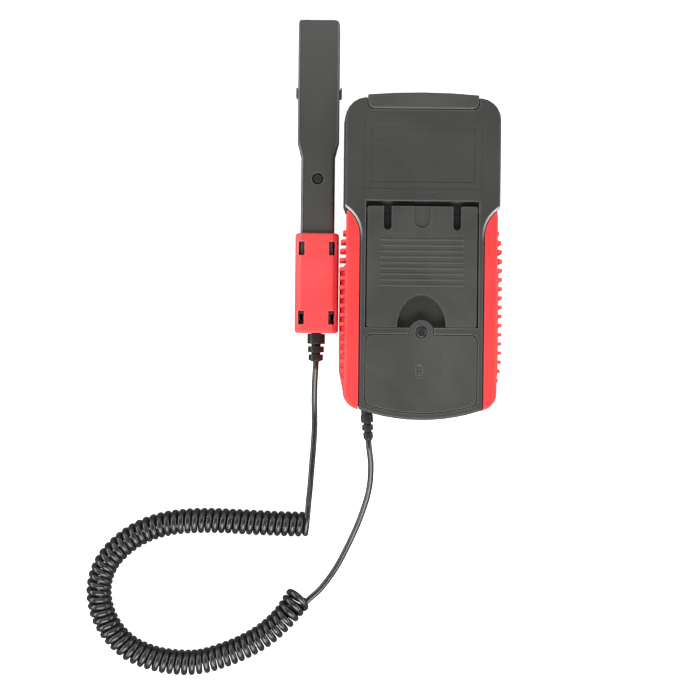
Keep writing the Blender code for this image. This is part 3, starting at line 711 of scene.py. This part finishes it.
cord = {
    "radius": 1.5 * mm,
    "coilWireRadius": 1.66 * mm,
    "sides": 14,
    "coilMeanRadius": 4.85 * mm,
    "lastTurnRadius": 5.9 * mm,
    "floorGap": 0.06 * mm,
    "lean": 3.2 * mm,
    "looseTurns": 4.5,
    "turns": 72,
    "pointsPerTurn": 18,
    "leadSpacing": 1.4 * mm,
    "axisSpacing": 0.5 * mm,
    "joinReach": 3,
    "joinPasses": 10,
    "meterLead": (  # from the meter's strain relief to the coil, in millimetres
        (-25.2, -88.5, 17.5), (-24.95, -91.95, 17.5), (-24.7, -95.0, 17.3), (-24.2, -98.6, 16.4),
        (-23.6, -104.0, 14.6), (-23.8, -112.5, 11.6), (-24.9, -119.8, 9.3), (-26.6, -126.0, 7.4),
        (-28.6, -132.1, 5.8), (-31.0, -138.3, 4.6), (-33.7, -144.5, 3.4), (-36.6, -150.6, 2.6),
        (-39.8, -156.8, 2.0), (-43.7, -163.0, 1.75), (-48.4, -169.1, 1.7), (-51.7, -172.4, 1.65),
        (-54.4, -174.7, 1.65), (-55.9, -176.3, 1.6), (-57.9, -176.4, 1.6),
    ),
    "probeLead": (  # from the probe's strain relief to the coil
        (-51.85, -50.0, 10.0), (-51.95, -52.75, 10.0), (-52.1, -56.0, 9.7), (-52.5, -62.5, 7.2),
        (-52.7, -72.1, 3.6), (-52.55, -80.3, 1.9), (-52.5, -86.4, 1.8), (-52.75, -92.6, 1.8),
        (-53.15, -98.8, 1.8), (-53.6, -104.9, 1.8), (-54.0, -111.0, 2.5), (-54.4, -117.0, 4.4),
        (-54.9, -123.0, 7.6), (-55.3, -129.4, 10.5),
    ),
    "coilRoute": (
        (-55.7, -135.5), (-67.1, -135.4), (-79.4, -135.0), (-91.7, -134.5), (-103.9, -134.1), (-116.2, -134.5),
        (-128.3, -136.2), (-139.9, -140.3), (-150.0, -147.2), (-157.9, -156.5), (-161.5, -168.1),
        (-160.1, -180.2), (-154.5, -191.1), (-145.7, -199.5), (-134.5, -204.4), (-122.4, -206.5),
        (-110.2, -206.3), (-98.4, -203.0), (-87.1, -198.3), (-76.6, -192.0), (-67.6, -183.7), (-59.2, -172.7),
    ),
}


def coilLine(values):
    # point(t) = axis(t) + r(t) * (cos f * up - sin f * across) + lean(t) * cos f * along, f growing by a
    # full turn per pitch, so the first point is on top of the coil and the last one underneath. The last
    # turns open out: r grows and their tops lean outwards.
    route = np.array([(x, y, 0.0) for x, y in values["coilRoute"]]) * mm
    axis = smoothLine(route, values["axisSpacing"])
    length = np.r_[0, np.cumsum(np.linalg.norm(np.diff(axis, axis=0), axis=1))]
    count = int(values["turns"] * values["pointsPerTurn"])
    t = np.linspace(0, length[-1], count)
    line = np.stack([np.interp(t, length, axis[:, i]) for i in range(3)], 1)
    along = np.gradient(line, axis=0)
    along /= np.linalg.norm(along, axis=1)[:, None]
    across = np.cross(along, (0.0, 0.0, 1.0))
    angle = np.linspace(0, 2 * np.pi * (values["turns"] + 0.5), count)
    loose = np.clip((angle - angle[-1]) / (2 * np.pi * values["looseTurns"]) + 1, 0, 1) ** 2
    radius = values["coilMeanRadius"] + (values["lastTurnRadius"] - values["coilMeanRadius"]) * loose
    lean = values["lean"] * loose * np.cos(angle)
    line += (radius * -np.sin(angle))[:, None] * across + lean[:, None] * along
    line[:, 2] += values["radius"] + values["floorGap"] + radius * (1 + np.cos(angle))
    return line


def easeJoin(path, middle, values):
    # Averages each point near the join with its neighbours, again and again.
    first, last = middle - values["joinReach"], middle + values["joinReach"]
    for _ in range(values["joinPasses"]):
        before, after = path[first - 1:last - 1], path[first + 1:last + 1]
        path[first:last] = 0.25 * before + 0.5 * path[first:last] + 0.25 * after


def makeCord(values):
    # One tube along the meter's lead, the coil and the probe's lead; the wire thickens over the first
    # and last turn of the coil.
    meterLead = smoothLine(np.array(values["meterLead"]) * mm, values["leadSpacing"])
    probeLead = smoothLine(np.array(values["probeLead"]) * mm, values["leadSpacing"])[::-1]
    coil = coilLine(values)[::-1]
    path = np.vstack((meterLead, coil[1:-1], probeLead))
    coilStart, coilEnd = len(meterLead), len(meterLead) + len(coil) - 2
    easeJoin(path, coilStart, values)
    easeJoin(path, coilEnd, values)
    index = np.arange(len(path))
    inCoil = np.clip(np.minimum(index - coilStart, coilEnd - index) / values["pointsPerTurn"], 0.0, 1.0)
    wire = values["radius"] + (values["coilWireRadius"] - values["radius"]) * inCoil
    tube = tubePiece("signal_cord", tubeAlong(path, wire, values["sides"]))
    paint(tube, materials["cordJacket"])
    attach(tube, "housing")
    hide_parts("cord_meter_lead", "cord_curl", "cord_probe_lead")


makeCord(cord)


# Moulded pieces

edgeRules = {
    "backFace": 35.0,
    "labelHalf": 30.0,
    "labelEnds": (31.0, 68.0),
    "labelRadius": 0.04,
    "arcCentre": (46.5, 10.0),
    "arcReach": 18.5,
    "arcTop": 34.5,
    "arcRadius": 0.12,
    "capTop": 36.0,
    "capRadius": 0.7,
    "probeTop": 16.5,
    "probeScrewY": 39.7,
    "probeScrewReach": 6.0,
    "probeRadius": 1.1,
    "ribTop": 35.3,
    "ribHalf": 21.0,
    "ribEnds": (-16.0, 10.0),
    "ribRadius": 0.12,
}


def rearCaseEdge(x, y, z):
    # The shallow label frames, and the slope along the arc above each grip.
    low, high = edgeRules["labelEnds"]
    if z > edgeRules["backFace"] and abs(x) < edgeRules["labelHalf"] and low < y < high:
        return edgeRules["labelRadius"]
    fromArc = math.hypot(abs(x) - edgeRules["arcCentre"][0], y - edgeRules["arcCentre"][1])
    return edgeRules["arcRadius"] if z > edgeRules["arcTop"] and fromArc < edgeRules["arcReach"] else None


def capEdge(x, y, z):
    return edgeRules["capRadius"] if z > edgeRules["capTop"] else None


def probeBackEdge(x, y, z):
    # Wide round edges along the probe's back, but not round its screw.
    awayFromScrew = abs(y - edgeRules["probeScrewY"]) > edgeRules["probeScrewReach"]
    return edgeRules["probeRadius"] if z > edgeRules["probeTop"] and awayFromScrew else None


def standEdge(x, y, z):
    # The low ribs across the stand.
    low, high = edgeRules["ribEnds"]
    onRibs = z > edgeRules["ribTop"] and abs(x) < edgeRules["ribHalf"] and low < y < high
    return edgeRules["ribRadius"] if onRibs else None


shells = (  # node, body, material, slot, edge radius in millimetres, where it differs
    ("rear_case", "housing", "casePlastic", "case_plastic", 0.25, rearCaseEdge),
    ("front_case", "housing", "casePlastic", "case_plastic", 0.30, None),
    ("top_end_cap", "housing", "capPlastic", "case_plastic", 0.30, capEdge),
    ("tilt_stand", "stand", "standPlastic", "stand_plastic", 0.25, standEdge),
    ("battery_door", "door", "doorPlastic", "door_plastic", 0.25, None),
    ("grip_left", "housing", "gripRubber", "red_rubber", 0.30, None),
    ("grip_right", "housing", "gripRubber", "red_rubber", 0.30, None),
    ("probe_rear_shell", "housing", "probePlastic", "probe_plastic", 0.35, probeBackEdge),
    ("probe_front_shell", "housing", "probePlastic", "probe_plastic", 0.35, None),
    ("probe_collar", "housing", "collarPlastic", "red_plastic", 0.35, None),
    ("sensor_slider", "slider", "casePlastic", "case_plastic", 0.15, None),
    ("meter_strain_relief", "housing", "reliefRubber", "cord_black", 0.25, None),
    ("probe_strain_relief", "housing", "reliefRubber", "cord_black", 0.25, None),
)


def makeShells():
    for node, body, material, slot, edge, edgeAt in shells:
        piece = roundedCopy(node, body, edge, edgeAt)
        paint(piece, materials[material])


makeShells()

batteryMark = {
    "centre": (-0.9, -56.0),
    "top": 35.99,
    "height": 0.12,
    "half": (1.7, 2.4),
    "bar": 0.17,
    "signs": (  # terminal, plus, minus and a line below: left, right, bottom, top
        (-0.8, 0.8, 2.57, 3.2),
        (-0.8, 0.8, 0.73, 1.07),
        (-0.17, 0.17, 0.1, 1.7),
        (-0.8, 0.8, -1.37, -1.03),
        (-2.2, 2.2, -3.7, -3.4),
    ),
    "sharp": 20.0,
}


def makeBatteryMark(values):
    # Raised outline of a battery on the door, each bar a thin box.
    w, h = values["half"]
    b = values["bar"]
    outline = ((-w, w, h - b, h + b), (-w, w, -h - b, -h + b), (-w - b, -w + b, -h - b, h + b),
               (w - b, w + b, -h - b, h + b))
    bars = np.array(outline + values["signs"])
    x = values["centre"][0] + bars[:, [0, 1, 1, 0]]
    y = values["centre"][1] + bars[:, [2, 2, 3, 3]]
    low = np.full_like(x, values["top"] - values["height"])
    high = np.full_like(x, values["top"])
    points = np.concatenate((np.stack((x, y, low), -1), np.stack((x, y, high), -1)), 1) * mm
    sides = np.array(((3, 2, 1, 0), (4, 5, 6, 7), (0, 1, 5, 4), (1, 2, 6, 5), (2, 3, 7, 6), (3, 0, 4, 7)))
    faces = (8 * np.arange(len(bars))[:, None, None] + sides).reshape(-1, 4)
    mark = addMesh("battery_mark", points.reshape(-1, 3), faces, values["sharp"])
    paint(mark, materials["markPlastic"])
    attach(mark, "door")


makeBatteryMark(batteryMark)
print("moulded pieces:", len(shells))

plainNodes = {
    "blackSteel": ("door_screw", "case_screw_1", "case_screw_2", "case_screw_3", "case_screw_4", "probe_screw"),
    "brushedSteel": ("sensor",),
    "keyRubber": ("button_2", "button_3", "button_4", "button_5", "button_6"),
    "gripRubber": ("power_button",),
    "solderMask": ("circuit_board", "sensor_board"),
    "blackPlastic": ("main_chip", "buzzer", "battery_snap"),
    "socketNylon": ("probe_socket",),
    "displayWindow": ("display_lens",),
    "displayGlass": ("display_module",),
    "batteryWrap": ("battery",),
}
for material, nodes in plainNodes.items():
    for node in nodes:
        paint(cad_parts[node], materials[material])
print("plain nodes painted")
